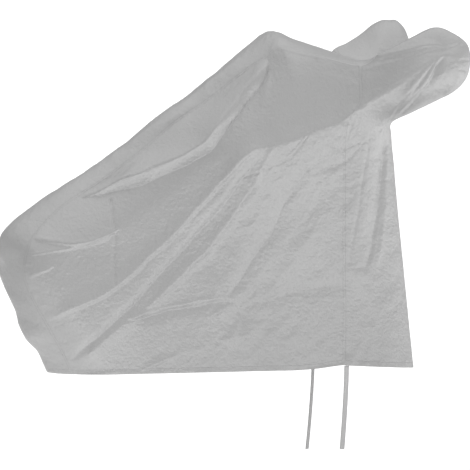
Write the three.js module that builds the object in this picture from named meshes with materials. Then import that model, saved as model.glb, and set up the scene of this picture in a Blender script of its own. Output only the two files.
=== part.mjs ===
// A fitted cover for a small electric scooter, in thin coated cloth, as it hangs in use.
// The rear is a low bulge, a long slope climbs to a peak, and a short ridge falls to a V
// between two mitten shaped sleeves for the handlebar. The bottom is open.
//
// Millimetres. +X points to the sleeves, +Y to the left side and +Z up. The origin lies on
// the centre plane, on the underside of the top at its peak.
import * as THREE from 'three';

// The cloth's thickness, and the gap between two sewn pieces
const CLOTH = 2;
const SEAM_GAP = 0.3;
// How far a piece stops short of its seam, where the cloth lies flat, turns a corner or twists
const FLAT = SEAM_GAP / 2;
const CREASED = SEAM_GAP * 0.7;
const TWISTED = SEAM_GAP * 0.9;

// The hem's height, and how far and how wide the front ties pull it up
const HEM = -873;
const HEM_PULL = { x: 165, width: 75, height: 11 };

// Half widths of the hanging cloth away from its edges: the rear flares down to its hem, and the
// front hangs in from the knee
const BODY = { rear: 138, rearFlare: 13, front: 142, kneeAdded: 20 };
const SLEEVE = { root: 200, addedToTip: 46 };
// How far apart two outlines blend, and how far in from an edge the folds reach full height
const FILL_BLEND = 25;
const FOLD_FADE = 45;

// How the left sleeve differs: it drops at its root, its top rises, and past TIP_START it is shorter
const LEFT_ROOT_DROP = 5;
const LEFT_TOP_RISE = 8;
const TIP_START = 395;
const LEFT_TIP_SHARE = 0.68;
const LEFT_TIP_RISE = 12;

// The flat ties: section, free lengths, place along the hem, and how far and how turned they hang
const TIE = { width: 13, thickness: 1.6, cut: 0.4 };
const TIES = [
  { side: 'right', length: 216, x: 157, drift: -12.5, turn: 0 },
  { side: 'left', length: 236, x: 161, drift: -17, turn: 0.6 },
];

// Rows of a table with its columns' names.
function named(columns, rows) {
  return rows.map(row => Object.fromEntries(columns.map((column, i) => [column, row[i]])));
}

// The rear and top strip, from the rear hem over the bulge, the slope and the peak to the V.
// x, z: its centre line. ex, ez, y: its seam on the side panels, y being the half width there.
// reach: how far the side panel needs to reach its full width. full: how round that start is.
const STRIP = named(['at', 'x', 'z', 'ex', 'ez', 'y', 'reach', 'full'], [
  ['rear hem', -603, -873, -572, -873, 96, 70, 0.8],
  ['tuck', -638, -812, -602, -812, 102, 70, 0.8],
  ['under bulge', -680, -750, -640, -748, 106, 70, 0.8],
  ['low bulge', -697, -684, -678, -684, 110, 70, 0.8],
  ['bulge', -717, -618, -706, -618, 112, 70, 0.8],
  ['high bulge', -734, -551, -698, -555, 112, 75, 0.8],
  ['rear shoulder', -710, -496, -670, -508, 100, 90, 0.9],
  ['low slope', -609, -420, -592, -441, 78, 110, 1],
  ['slope', -505, -358, -489, -381, 67, 120, 1],
  ['mid slope', -402, -290, -387, -312, 62, 120, 1],
  ['upper slope', -299, -209, -285, -232, 60, 120, 1],
  ['notch', -206, -147, -192, -171, 62, 120, 1],
  ['below peak', -104, -70, -91, -93, 78, 110, 1],
  ['crown', -40, -22, -52, -65, 96, 100, 0.95],
  ['peak', 0, 0, -15, -36, 112, 95, 0.9],
  ['fall', 42, -16, 28, -46, 127, 92, 0.85],
  ['ridge', 86, -31, 74, -57, 140, 90, 0.8],
  ['V', 170, -60, 186, -84, 166, 80, 0.7],
  ['V end', 236, -90, 232, -54, 181, 70, 0.55],
]);
const REAR_ROWS = 6;
const V_ROW = 17;

// The front, from the hem up its edge, round a sleeve and back along the sleeve's top to the V.
// sx, sz: the front seam. ex, ez, y: the edge seam between the outer and the middle panel.
// x, z: the middle panel's centre line. y1, k, y2: how its cross line bends on the way from the
// centre to the edge seam; k is the share of the way forward that it has gone at y2.
const FRONT = named(['at', 'sx', 'sz', 'ex', 'ez', 'y', 'x', 'z', 'y1', 'k', 'y2', 'reach', 'full'], [
  ['front hem', 150, -863, 360, -876, 78, 378, -878, 28, 0.8, 60, 140, 0.55],
  ['shin', 150, -720, 343, -720, 79, 361, -722, 28, 0.8, 60, 140, 0.55],
  ['knee', 146, -575, 327, -575, 80, 344, -577, 28, 0.8, 61, 140, 0.55],
  ['chest', 143, -440, 312, -440, 82, 330, -442, 29, 0.8, 62, 135, 0.55],
  ['high chest', 140, -345, 301, -335, 86, 318, -342, 32, 0.8, 66, 125, 0.55],
  ['below neck', 137, -290, 290, -270, 98, 312, -275, 42, 0.8, 76, 110, 0.55],
  ['neck', 137, -268, 284, -234, 120, 300, -250, 66, 0.9, 90, 95, 0.5],
  ['underarm', 138, -250, 322, -209, 156, 302, -232, 88, 1, 106, 82, 0.5],
  ['under sleeve', 140, -234, 384, -175, 190, 303, -214, 105, 1, 122, 74, 0.5],
  ['low corner', 147, -219, 428, -151, 206, 298, -198, 108, 1, 130, 72, 0.5],
  ['low tip', 158, -205, 459, -117, 210, 293, -183, 108, 1, 132, 72, 0.5],
  ['tip', 169, -191, 470, -72, 211, 287, -168, 108, 1, 132, 72, 0.5],
  ['high tip', 177, -178, 461, -30, 211, 281, -153, 108, 1, 132, 72, 0.5],
  ['round corner', 181, -166, 424, -2, 210, 274, -140, 108, 1, 130, 72, 0.5],
  ['top corner', 182, -154, 378, 13, 210, 267, -128, 106, 1, 130, 72, 0.5],
  ['sleeve top', 183, -141, 325, -8, 208, 258, -115, 98, 0.9, 134, 72, 0.5],
  ['sleeve root', 183, -120, 275, -33, 198, 247, -102, 80, 0.6, 130, 70, 0.52],
  ['V', 186, -84, 232, -54, 181, 236, -90, 60.3, 0.333, 120.7, 70, 0.55],
]);

// Main folds of the side and front panels: a crest or a trough along a line in the X-Z plane, drawn
// from the rear to the front where its two slopes differ. above, below: how wide each slope is.
const FOLDS = named(['side', 'name', 'above', 'below', 'height', 'line'], [
  ['right', 'knee bulge', 95, 95, 22,
    [[-110, -300], [23, -275], [140, -232], [215, -190]]],
  ['right', 'low pull', 60, 60, 12,
    [[-633, -855], [-477, -738], [-379, -653], [-256, -530], [-147, -407]]],
  ['right', 'high pull', 105, 45, 18,
    [[-640, -727], [-559, -692], [-477, -652], [-379, -560], [-272, -462], [-174, -376]]],
  ['right', 'broad pull', 60, 45, 15,
    [[-190, -690], [-54, -479], [17, -366]]],
  ['right', 'slope band', 65, 36, 11,
    [[-546, -404], [-443, -366], [-331, -322], [-252, -276], [-165, -200], [-93, -113], [-63, -50]]],
  ['right', 'rear curve', 40, 20, 5,
    [[-680, -520], [-652, -529], [-584, -530], [-477, -511]]],
  ['right', 'front crease', 28, 28, 6,
    [[160, -610], [203, -392], [212, -310]]],
  ['right', 'front trough', 28, 28, -6,
    [[239, -596], [250, -471], [268, -335]]],
  ['right', 'sleeve fold', 30, 30, 6,
    [[285, -190], [330, -140], [390, -85]]],
  ['right', 'sleeve top crest', 27, 27, 5,
    [[200, -100], [265, -70], [345, -45]]],
  ['left', 'knee bulge', 95, 95, 20,
    [[-90, -315], [30, -285], [140, -240], [215, -190]]],
  ['left', 'low pull', 60, 50, 12,
    [[-600, -820], [-430, -690], [-290, -560], [-180, -430]]],
  ['left', 'high pull', 90, 45, 14,
    [[-620, -690], [-500, -640], [-360, -530], [-220, -390]]],
  ['left', 'broad pull', 60, 45, 13,
    [[-230, -760], [-110, -560], [-10, -390]]],
  ['left', 'front pull', 36, 36, -8,
    [[20, -640], [70, -480], [110, -330]]],
  ['left', 'slope band', 60, 36, 10,
    [[-540, -450], [-380, -400], [-250, -300], [-110, -150]]],
  ['left', 'front crease', 27, 27, 6,
    [[180, -640], [210, -420], [220, -290]]],
  ['left', 'sleeve fold', 30, 30, 6,
    [[285, -185], [335, -150], [395, -110]]],
  ['left', 'sleeve top crest', 27, 27, 5,
    [[205, -105], [275, -75], [350, -50]]],
]);

// Crumpled tucks across the strip. row: where they lie on STRIP. slant: how far they lean.
const TUCKS = named(['row', 'width', 'height', 'slant'], [
  [0.7, 0.3, -4, 0.2],
  [1.5, 0.3, 5, -0.3],
  [2.3, 0.3, -5, 0.25],
  [3.1, 0.3, 4, 0.3],
  [4.4, 0.35, -4, -0.4],
  [8.6, 0.4, 2, 0.3],
  [10.6, 0.4, -2, -0.2],
]);

const mix = THREE.MathUtils.lerp;
const smooth = THREE.MathUtils.smoothstep;

// The value of a table's column at a row number with a fraction, on a smooth curve.
function read(table, column, row) {
  const last = table.length - 1;
  const start = Math.min(Math.floor(row), last - 1);
  const value = i => table[THREE.MathUtils.clamp(i, 0, last)][column];
  const [a, b, c, d] = [value(start - 1), value(start), value(start + 1), value(start + 2)];
  const t = row - start;
  const [leave, arrive] = [(c - a) / 2, (d - b) / 2];
  const cubic = 2 * b - 2 * c + leave + arrive;
  const square = 3 * c - 3 * b - 2 * leave - arrive;
  return ((cubic * t + square) * t + leave) * t + b;
}

// The outline that the strip's seams and the front's edge seams make, seen from the side.
function outlineSamples() {
  const columns = ['ex', 'ez', 'y', 'reach', 'full'];
  const pick = (table, row) => columns.map(column => read(table, column, row));
  const perRow = 6;
  const samples = [];
  for (let i = 0; i <= (STRIP.length - 1) * perRow; i++) samples.push(pick(STRIP, i / perRow));
  for (let i = (FRONT.length - 1) * perRow - 1; i >= 0; i--) samples.push(pick(FRONT, i / perRow));
  return samples;
}
const OUTLINE = outlineSamples();

// Nearest place of a broken line: its distance, segment and share of that segment, and how much
// the place lies above the line, from 0 below it over 0.5 past its ends to 1 above it.
function nearest(line, x, z) {
  let best = { distance: Infinity, segment: 0, share: 0, above: 0 };
  for (let i = 0; i < line.length - 1; i++) {
    const [ax, az] = line[i];
    const [bx, bz] = line[i + 1];
    const length2 = (bx - ax) ** 2 + (bz - az) ** 2;
    const along = ((x - ax) * (bx - ax) + (z - az) * (bz - az)) / length2;
    const share = THREE.MathUtils.clamp(along, 0, 1);
    const distance = Math.hypot(mix(ax, bx, share) - x, mix(az, bz, share) - z);
    const off = ((bx - ax) * (z - az) - (bz - az) * (x - ax)) / Math.sqrt(length2);
    const above = 0.5 + 0.5 * off / Math.max(distance, 1e-6);
    if (distance < best.distance) best = { distance, segment: i, share, above };
  }
  return best;
}

function foldHeight(x, z, side) {
  let height = 0;
  for (const fold of FOLDS) {
    if (fold.side !== side) continue;
    const { distance, above } = nearest(fold.line, x, z);
    height += fold.height * Math.exp(-((distance / mix(fold.below, fold.above, above)) ** 2));
  }
  return height;
}

// Half width of the hanging cloth away from its edges: slack over the body, fuller in a sleeve.
function fullWidth(x, z) {
  const rear = BODY.rear + BODY.rearFlare * smooth(-z, 500, 820);
  const front = BODY.front + BODY.kneeAdded * smooth(z, -760, -330);
  const body = mix(rear, front, smooth(x, -420, -20));
  const sleeve = SLEEVE.root + SLEEVE.addedToTip * smooth(x, 180, 340);
  const upInSleeve = (x - 290) * 0.5 + (z + 250) * 0.87;
  return mix(body, sleeve, smooth(x, 120, 300) * smooth(upInSleeve, -60, 110));
}

// How the walls fill out near a place: the outline's own values, the nearest counting most.
function fillNear(x, z, distance) {
  let [reach, full, total] = [0, 0, 0];
  for (const place of OUTLINE) {
    const weight = Math.exp((distance - Math.hypot(place[0] - x, place[1] - z)) / FILL_BLEND);
    reach += weight * place[3];
    full += weight * place[4];
    total += weight;
  }
  return [reach / total, full / total];
}

// Half width of the side and front walls at a place in the X-Z plane.
function wallY(x, z, side) {
  const { distance, segment, share } = nearest(OUTLINE, x, z);
  const edge = mix(OUTLINE[segment][2], OUTLINE[segment + 1][2], share);
  const [reach, full] = fillNear(x, z, distance);
  const rise = (1 - (1 - Math.min(distance / reach, 1)) ** 2) ** full;
  return mix(edge, fullWidth(x, z), rise) + foldHeight(x, z, side) * Math.min(distance / FOLD_FADE, 1);
}

const hemZ = x => HEM + HEM_PULL.height * Math.exp(-(((x - HEM_PULL.x) / HEM_PULL.width) ** 2));

// Side panel: u from the rear seam to the front seam, v from the hem up to the strip's seam.
function sidePlace(u, v) {
  const left = [read(STRIP, 'ex', v * REAR_ROWS), read(STRIP, 'ez', v * REAR_ROWS)];
  const topRow = mix(REAR_ROWS, V_ROW, u);
  const top = [read(STRIP, 'ex', topRow), read(STRIP, 'ez', topRow)];
  const seamRow = v * (FRONT.length - 1);
  const right = [read(FRONT, 'sx', seamRow), read(FRONT, 'sz', seamRow)];
  const corner = { rearHem: [STRIP[0].ex, STRIP[0].ez], frontHem: [FRONT[0].sx, FRONT[0].sz] };
  corner.rearTop = [STRIP[REAR_ROWS].ex, STRIP[REAR_ROWS].ez];
  corner.frontTop = [STRIP[V_ROW].ex, STRIP[V_ROW].ez];
  const hemX = mix(corner.rearHem[0], corner.frontHem[0], u);
  const hem = [hemX, hemZ(hemX)];
  return [0, 1].map(k => {
    const leftBend = left[k] - mix(corner.rearHem[k], corner.rearTop[k], v);
    const rightBend = right[k] - mix(corner.frontHem[k], corner.frontTop[k], v);
    return mix(hem[k], top[k], v) + leftBend * (1 - u) ** 2 + rightBend * u ** 4;
  });
}

// Front panel: u from the front seam to the edge seam, v from the hem up and round the sleeve.
// Its lines run straight, and only the last ones bend with the strip's seam.
const TOP_BEND_POWER = 24;
function frontPlace(u, v) {
  const row = v * (FRONT.length - 1);
  const stripRow = mix(V_ROW, STRIP.length - 1, u);
  const lineX = mix(read(FRONT, 'sx', row), read(FRONT, 'ex', row), u);
  const lineZ = mix(read(FRONT, 'sz', row), read(FRONT, 'ez', row), u);
  const topBend = v ** TOP_BEND_POWER;
  const straightX = mix(FRONT.at(-1).sx, FRONT.at(-1).ex, u);
  const straightZ = mix(FRONT.at(-1).sz, FRONT.at(-1).ez, u);
  return [lineX + (read(STRIP, 'ex', stripRow) - straightX) * topBend,
    lineZ + (read(STRIP, 'ez', stripRow) - straightZ) * topBend];
}

// A cross line of the strip or the middle panel: t from the right seam, -1, to the left one, 1.
function crossLine(centre, edge, y1, k, y2, y, t) {
  const [a, side] = [Math.abs(t), Math.sign(t)];
  const weights = [(1 - a) ** 3, 3 * a * (1 - a) ** 2, 3 * a * a * (1 - a), a ** 3];
  const place = axis => {
    const bend = mix(centre[axis], edge[axis], k);
    return centre[axis] * (weights[0] + weights[1]) + bend * weights[2] + edge[axis] * weights[3];
  };
  const out = y1 * weights[1] + y2 * weights[2] + y * weights[3];
  return new THREE.Vector3(place(0), side * out, place(1));
}

function stripPoint(s, t) {
  const row = s * (STRIP.length - 1);
  const [x, z, ex, ez, y] = ['x', 'z', 'ex', 'ez', 'y'].map(column => read(STRIP, column, row));
  const point = crossLine([x, z], [ex, ez], y / 3, 1 / 3, 2 * y / 3, y, t);
  const ahead = [read(STRIP, 'x', row + 0.01) - x, read(STRIP, 'z', row + 0.01) - z];
  const length = Math.hypot(...ahead);
  let lift = 0;
  for (const tuck of TUCKS) {
    lift += tuck.height * Math.exp(-(((row - tuck.row - tuck.slant * t) / tuck.width) ** 2));
  }
  lift *= 1 - t * t;
  return point.add(new THREE.Vector3(-ahead[1] / length * lift, 0, ahead[0] / length * lift));
}

// The left sleeve differs a little from the right one: lower at its root, higher and shorter at its tip.
function leftSleeve(point) {
  const { x, y, z } = point;
  if (y < 0) return point;
  const root = smooth(x, 240, 275) * (1 - smooth(x, 320, 390)) * smooth(z, -140, -60);
  const rise = LEFT_TOP_RISE * smooth(x, 300, 350) + LEFT_TIP_RISE * smooth(x, TIP_START - 7, TIP_START + 30);
  point.z += rise * smooth(z, -80, 0) - LEFT_ROOT_DROP * root;
  if (x > TIP_START) point.x = mix(TIP_START, x, LEFT_TIP_SHARE);
  return point;
}

function middlePoint(t, v) {
  const row = v * (FRONT.length - 1);
  const columns = ['x', 'z', 'ex', 'ez', 'y', 'y1', 'k', 'y2'];
  const [x, z, ex, ez, y, y1, k, y2] = columns.map(column => read(FRONT, column, row));
  return leftSleeve(crossLine([x, z], [ex, ez], y1, k, y2, y, t));
}

const wallPoint = (place, side) => (u, v) => {
  const forward = side === 'right' ? u : 1 - u;
  const [x, z] = place(forward, v);
  return leftSleeve(new THREE.Vector3(x, (side === 'right' ? -1 : 1) * wallY(x, z, side), z));
};

// Draws one edge of a grid of places in from its seam, square to the seam.
function drawIn(places, [i, j], [inI, inJ], [alongI, alongJ], amount) {
  const place = (p, q) => places[THREE.MathUtils.clamp(p, 0, places.length - 1)][
    THREE.MathUtils.clamp(q, 0, places[0].length - 1)];
  const along = place(i + alongI, j + alongJ).clone().sub(place(i - alongI, j - alongJ)).normalize();
  const inward = place(i + inI, j + inJ).clone().sub(place(i, j));
  inward.addScaledVector(along, -inward.dot(along)).setLength(amount);
  return inward;
}

// A sheet of cloth from a surface: its inner face lies on the surface and it is CLOTH thick.
// seams: how far each edge that meets another piece is drawn in, named by u or v and its end.
// beyond: for a seam that lies flat, the neighbour's places next to it, so that both lean alike.
function sheet(name, surface, us, vs, seams, beyond, material) {
  const [nu, nv] = [us.length - 1, vs.length - 1];
  const places = us.map(u => vs.map(v => surface(u, v)));
  const shifts = [];
  const all = [...us.keys()].flatMap(i => [...vs.keys()].map(j => [i, j]));
  for (const [i, j] of all) {
    if (i === 0 && seams.u0) shifts.push([i, j, drawIn(places, [i, j], [1, 0], [0, 1], seams.u0)]);
    if (i === nu && seams.u1) shifts.push([i, j, drawIn(places, [i, j], [-1, 0], [0, 1], seams.u1)]);
    if (j === 0 && seams.v0) shifts.push([i, j, drawIn(places, [i, j], [0, 1], [1, 0], seams.v0)]);
    if (j === nv && seams.v1) shifts.push([i, j, drawIn(places, [i, j], [0, -1], [1, 0], seams.v1)]);
  }
  shifts.forEach(([i, j, shift]) => places[i][j].add(shift));
  const before = beyond.u0 ? [vs.map(beyond.u0)] : [];
  const after = beyond.u1 ? [vs.map(beyond.u1)] : [];
  const over = beyond.v1 ? us.map(u => [beyond.v1(u)]) : us.map(() => []);
  const columns = [...before, ...places.map((column, i) => [...column, ...over[i]]), ...after];
  const rows = columns[0].length;
  const inner = new THREE.PlaneGeometry(1, 1, columns.length - 1, rows - 1);
  const at = (i, j) => (rows - 1 - j) * columns.length + i;
  const flat = inner.getAttribute('position');
  columns.forEach((column, i) => column.forEach((p, j) => flat.setXYZ(at(i, j), p.x, p.y, p.z)));
  inner.computeVertexNormals();
  const normals = inner.getAttribute('normal');
  const solid = new THREE.BoxGeometry(1, 1, 1, nu, nv, 1);
  const position = solid.getAttribute('position');
  for (let n = 0; n < position.count; n++) {
    const i = Math.round((position.getX(n) + 0.5) * nu);
    const j = Math.round((position.getY(n) + 0.5) * nv);
    const out = position.getZ(n) > 0 ? CLOTH : 0;
    const normal = new THREE.Vector3().fromBufferAttribute(normals, at(i + before.length, j));
    const p = places[i][j].clone().addScaledVector(normal, out);
    position.setXYZ(n, p.x, p.y, p.z);
  }
  solid.computeVertexNormals();
  const mesh = new THREE.Mesh(solid, material);
  mesh.name = name;
  return mesh;
}

const material = (color, roughness) => new THREE.MeshStandardMaterial({ color, roughness, metalness: 0 });
const clothMaterial = () => material(0xb6b8b8, 0.42);
const tapeMaterial = () => material(0x9fa1a1, 0.7);

function steps(count, from = 0, to = 1) {
  return Array.from({ length: count + 1 }, (_, i) => mix(from, to, i / count));
}
const backwards = list => list.map(value => 1 - value).reverse();

// How finely each direction is divided. Panels that share a seam share its points.
const UP = steps(32);
const ALONG_TOP = steps(32);
const SLEEVE_FORWARD = steps(11).map(u => mix(u, Math.sin(u * Math.PI / 2), 0.6));
const ACROSS = steps(10, -1, 1);

function stripSteps() {
  const last = STRIP.length - 1;
  const rear = UP.map(v => v * REAR_ROWS / last);
  const top = ALONG_TOP.map(u => mix(REAR_ROWS, V_ROW, u) / last);
  const end = SLEEVE_FORWARD.map(u => mix(V_ROW, last, u) / last);
  return [...rear, ...top.slice(1), ...end.slice(1)];
}

// A tie: a flat tape that hangs free from the hem at the foot of a front seam, cut straight.
function tie({ side, length, x, drift, turn }) {
  const y = (side === 'right' ? -1 : 1) * (wallY(x, HEM, side) + CLOTH / 2);
  const { sx, sz, ex, ez } = FRONT[0];
  const top = mix(sz, ez, (x + TIE.width / 2 - sx) / (ex - sx)) - SEAM_GAP;
  const route = steps(4).map(share => new THREE.Vector3(x + drift * share ** 1.5, y, top - length * share));
  const [a, b] = [TIE.thickness / 2, TIE.width / 2];
  const corners = [[a, b - TIE.cut], [a - TIE.cut, b], [TIE.cut - a, b], [-a, b - TIE.cut],
    [-a, TIE.cut - b], [TIE.cut - a, -b], [a - TIE.cut, -b], [a, TIE.cut - b]];
  const section = new THREE.Shape(corners.map(([p, q]) =>
    new THREE.Vector2(p, q).rotateAround(new THREE.Vector2(), turn)));
  const extrudePath = new THREE.CatmullRomCurve3(route);
  const shape = new THREE.ExtrudeGeometry(section, { steps: 8, extrudePath });
  const mesh = new THREE.Mesh(shape, tapeMaterial());
  mesh.name = `tie_${side}`;
  return mesh;
}

const cover = new THREE.Group();
for (const side of ['right', 'left']) {
  const right = side === 'right';
  const forward = right ? ALONG_TOP : backwards(ALONG_TOP);
  const toTip = right ? SLEEVE_FORWARD : backwards(SLEEVE_FORWARD);
  const [back, front] = [wallPoint(sidePlace, side), wallPoint(frontPlace, side)];
  const [rearEnd, frontEnd] = right ? ['u0', 'u1'] : ['u1', 'u0'];
  const backSeams = { [rearEnd]: CREASED, [frontEnd]: FLAT, v1: CREASED };
  const frontSeams = { [rearEnd]: FLAT, [frontEnd]: CREASED, v1: CREASED };
  const intoFront = { [frontEnd]: v => front(toTip.at(right ? 1 : -2), v) };
  const intoBack = { [rearEnd]: v => back(forward.at(right ? -2 : 1), v) };
  cover.add(
    sheet(`side_panel_${side}`, back, forward, UP, backSeams, intoFront, clothMaterial()),
    sheet(`front_panel_${side}`, front, toTip, UP, frontSeams, intoBack, clothMaterial()),
  );
}
const along = stripSteps();
const stripSeams = { u1: TWISTED, v0: CREASED, v1: CREASED };
const middleSeams = { u0: CREASED, u1: CREASED, v1: TWISTED };
const intoMiddle = { u1: t => middlePoint(t, UP.at(-2)) };
const intoStrip = { v1: t => stripPoint(along.at(-2), t) };
cover.add(
  sheet('spine_strip', stripPoint, along, ACROSS, stripSeams, intoMiddle, clothMaterial()),
  sheet('front_middle', middlePoint, ACROSS, UP, middleSeams, intoStrip, clothMaterial()),
  ...TIES.map(tie),
);

export default cover;
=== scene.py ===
# %% [markdown]
# # A fitted cover for a small electric scooter
# The cover is sewn from eight pieces: two side panels, two front panels that run out into the
# sleeves, a strip over the rear and the top, a middle panel between the sleeves, and two ties.
# The imported model gives the true draped shape of each one as a plain sheet 2 mm thick. This
# script replaces each sheet by a finer one that lies on the same folds and adds what a needle, a
# coating and a folded parcel leave in cloth: puckers, creases, a hem and a soft sheen.
#
# The first cell loads the model.

# %% Load the imported model
import math
import bmesh
import bpy
import numpy as np
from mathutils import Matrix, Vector


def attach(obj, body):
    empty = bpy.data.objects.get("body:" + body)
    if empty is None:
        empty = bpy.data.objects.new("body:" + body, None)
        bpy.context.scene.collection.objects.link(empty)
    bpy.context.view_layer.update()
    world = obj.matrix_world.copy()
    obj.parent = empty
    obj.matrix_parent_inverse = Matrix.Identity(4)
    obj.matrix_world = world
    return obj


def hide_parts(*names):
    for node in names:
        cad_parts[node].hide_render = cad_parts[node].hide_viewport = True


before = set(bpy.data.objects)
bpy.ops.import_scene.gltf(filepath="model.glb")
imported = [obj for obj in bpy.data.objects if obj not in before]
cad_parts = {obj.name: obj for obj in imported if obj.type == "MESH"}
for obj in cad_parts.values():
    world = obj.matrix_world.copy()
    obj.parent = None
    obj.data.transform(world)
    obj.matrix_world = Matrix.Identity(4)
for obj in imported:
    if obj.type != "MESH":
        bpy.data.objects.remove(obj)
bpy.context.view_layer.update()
print("nodes:", ", ".join(sorted(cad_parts)))

# %% [markdown]
# ## The camera
# The photograph looks at the right side, 18 degrees round towards the rear and 3 degrees down.
# Its lines run almost parallel, so the camera stands 25 m off behind a long lens. One pixel is
# 2.6 mm at the cover, the picture is 470 pixels wide and high, and the peak, where this frame has
# its origin, shows 272 pixels from the left edge and 32 from the top.

# %% Set up the camera
AZIMUTH = math.radians(-18)
ELEVATION = math.radians(3)
PIXEL = 2.6
PICTURE = 470
PEAK_ACROSS = 272
PEAK_DOWN = 32
DISTANCE = 25
SENSOR = 36
to_right = Vector((math.cos(AZIMUTH), math.sin(AZIMUTH), 0))
to_camera = Vector((math.sin(AZIMUTH) * math.cos(ELEVATION),
                    -math.cos(AZIMUTH) * math.cos(ELEVATION), math.sin(ELEVATION)))
to_top = to_camera.cross(to_right)
aim = (to_right * (PICTURE / 2 - PEAK_ACROSS) - to_top * (PICTURE / 2 - PEAK_DOWN)) * PIXEL / 1000
camera_data = bpy.data.cameras.new("camera")
camera_data.sensor_width = SENSOR
camera_data.lens = SENSOR * DISTANCE / (PICTURE * PIXEL / 1000)
camera_data.clip_end = 200
camera = bpy.data.objects.new("camera", camera_data)
camera.location = aim + to_camera * DISTANCE
camera.rotation_mode = "QUATERNION"
camera.rotation_quaternion = (-to_camera).to_track_quat("-Z", "Y")
bpy.context.scene.collection.objects.link(camera)
bpy.context.scene.camera = camera
print("lens:", round(camera_data.lens), "mm")

# %% [markdown]
# ## The draped shape
# The sheets lie on the folds of the model, so this script draws the same surfaces from the same
# sizes. They are given in millimetres, with the origin under the peak. Each table row is a
# station along a seam, and a smooth curve joins the stations. NumPy reads a whole column of
# places at once, which keeps fine sheets quick.

# %% Read a table along a smooth curve
CLOTH = 2
HEM = -873
HEM_PULL = {"x": 165, "width": 75, "height": 11}
FILL_BLEND = 25
FOLD_FADE = 45


def named(columns, rows):
    return {column: np.array([row[i] for row in rows], float) for i, column in enumerate(columns)}


def mix(a, b, share):
    return a + (b - a) * share


def smooth(x, low, high):
    t = np.clip((x - low) / (high - low), 0, 1)
    return t * t * (3 - 2 * t)


def read(table, column, row):
    values = table[column]
    last = len(values) - 1
    start = np.minimum(np.floor(row), last - 1).astype(int)
    a, b, c, d = (values[np.clip(start + k, 0, last)] for k in (-1, 0, 1, 2))
    t = row - start
    leave, arrive = (c - a) / 2, (d - b) / 2
    cubic = 2 * b - 2 * c + leave + arrive
    square = 3 * c - 3 * b - 2 * leave - arrive
    return ((cubic * t + square) * t + leave) * t + b


# %% [markdown]
# The strip's stations run from the rear hem over the bulge, the slope and the peak to the V
# between the sleeves. x and z give its centre line, ex, ez and y its seam on the side panels.
# reach and full say how the side panel swells behind that seam.

# %% Stations of the strip
STRIP = named(("x", "z", "ex", "ez", "y", "reach", "full"), (
    (-603, -873, -572, -873, 96, 70, 0.8),
    (-638, -812, -602, -812, 102, 70, 0.8),
    (-680, -750, -640, -748, 106, 70, 0.8),
    (-697, -684, -678, -684, 110, 70, 0.8),
    (-717, -618, -706, -618, 112, 70, 0.8),
    (-734, -551, -698, -555, 112, 75, 0.8),
    (-710, -496, -670, -508, 100, 90, 0.9),
    (-609, -420, -592, -441, 78, 110, 1),
    (-505, -358, -489, -381, 67, 120, 1),
    (-402, -290, -387, -312, 62, 120, 1),
    (-299, -209, -285, -232, 60, 120, 1),
    (-206, -147, -192, -171, 62, 120, 1),
    (-104, -70, -91, -93, 78, 110, 1),
    (-40, -22, -52, -65, 96, 100, 0.95),
    (0, 0, -15, -36, 112, 95, 0.9),
    (42, -16, 28, -46, 127, 92, 0.85),
    (86, -31, 74, -57, 140, 90, 0.8),
    (170, -60, 186, -84, 166, 80, 0.7),
    (236, -90, 232, -54, 181, 70, 0.55),
))
STRIP_END = 18
REAR_ROWS = 6
V_ROW = 17

# %% [markdown]
# The front's stations run from the hem up its edge, round a sleeve and back along the sleeve's
# top to the V. sx and sz give the front seam, ex, ez and y the edge seam, x and z the centre line
# of the middle panel, and y1, k and y2 how that panel bends between its centre and its edge.

# %% Stations of the front
FRONT = named(("sx", "sz", "ex", "ez", "y", "x", "z", "y1", "k", "y2", "reach", "full"), (
    (150, -863, 360, -876, 78, 378, -878, 28, 0.8, 60, 140, 0.55),
    (150, -720, 343, -720, 79, 361, -722, 28, 0.8, 60, 140, 0.55),
    (146, -575, 327, -575, 80, 344, -577, 28, 0.8, 61, 140, 0.55),
    (143, -440, 312, -440, 82, 330, -442, 29, 0.8, 62, 135, 0.55),
    (140, -345, 301, -335, 86, 318, -342, 32, 0.8, 66, 125, 0.55),
    (137, -290, 290, -270, 98, 312, -275, 42, 0.8, 76, 110, 0.55),
    (137, -268, 284, -234, 120, 300, -250, 66, 0.9, 90, 95, 0.5),
    (138, -250, 322, -209, 156, 302, -232, 88, 1, 106, 82, 0.5),
    (140, -234, 384, -175, 190, 303, -214, 105, 1, 122, 74, 0.5),
    (147, -219, 428, -151, 206, 298, -198, 108, 1, 130, 72, 0.5),
    (158, -205, 459, -117, 210, 293, -183, 108, 1, 132, 72, 0.5),
    (169, -191, 470, -72, 211, 287, -168, 108, 1, 132, 72, 0.5),
    (177, -178, 461, -30, 211, 281, -153, 108, 1, 132, 72, 0.5),
    (181, -166, 424, -2, 210, 274, -140, 108, 1, 130, 72, 0.5),
    (182, -154, 378, 13, 210, 267, -128, 106, 1, 130, 72, 0.5),
    (183, -141, 325, -8, 208, 258, -115, 98, 0.9, 134, 72, 0.5),
    (183, -120, 275, -33, 198, 247, -102, 80, 0.6, 130, 70, 0.52),
    (186, -84, 232, -54, 181, 236, -90, 60.3, 0.333, 120.7, 70, 0.55),
))
FRONT_END = 17

# %% [markdown]
# The large folds are crests and troughs along lines on each side, seen from the side. A fold is
# highest on its line and fades away from it, as loose cloth does between two places that pull. The
# two widths say how fast it fades above and below a line that runs from the rear to the front.

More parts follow.
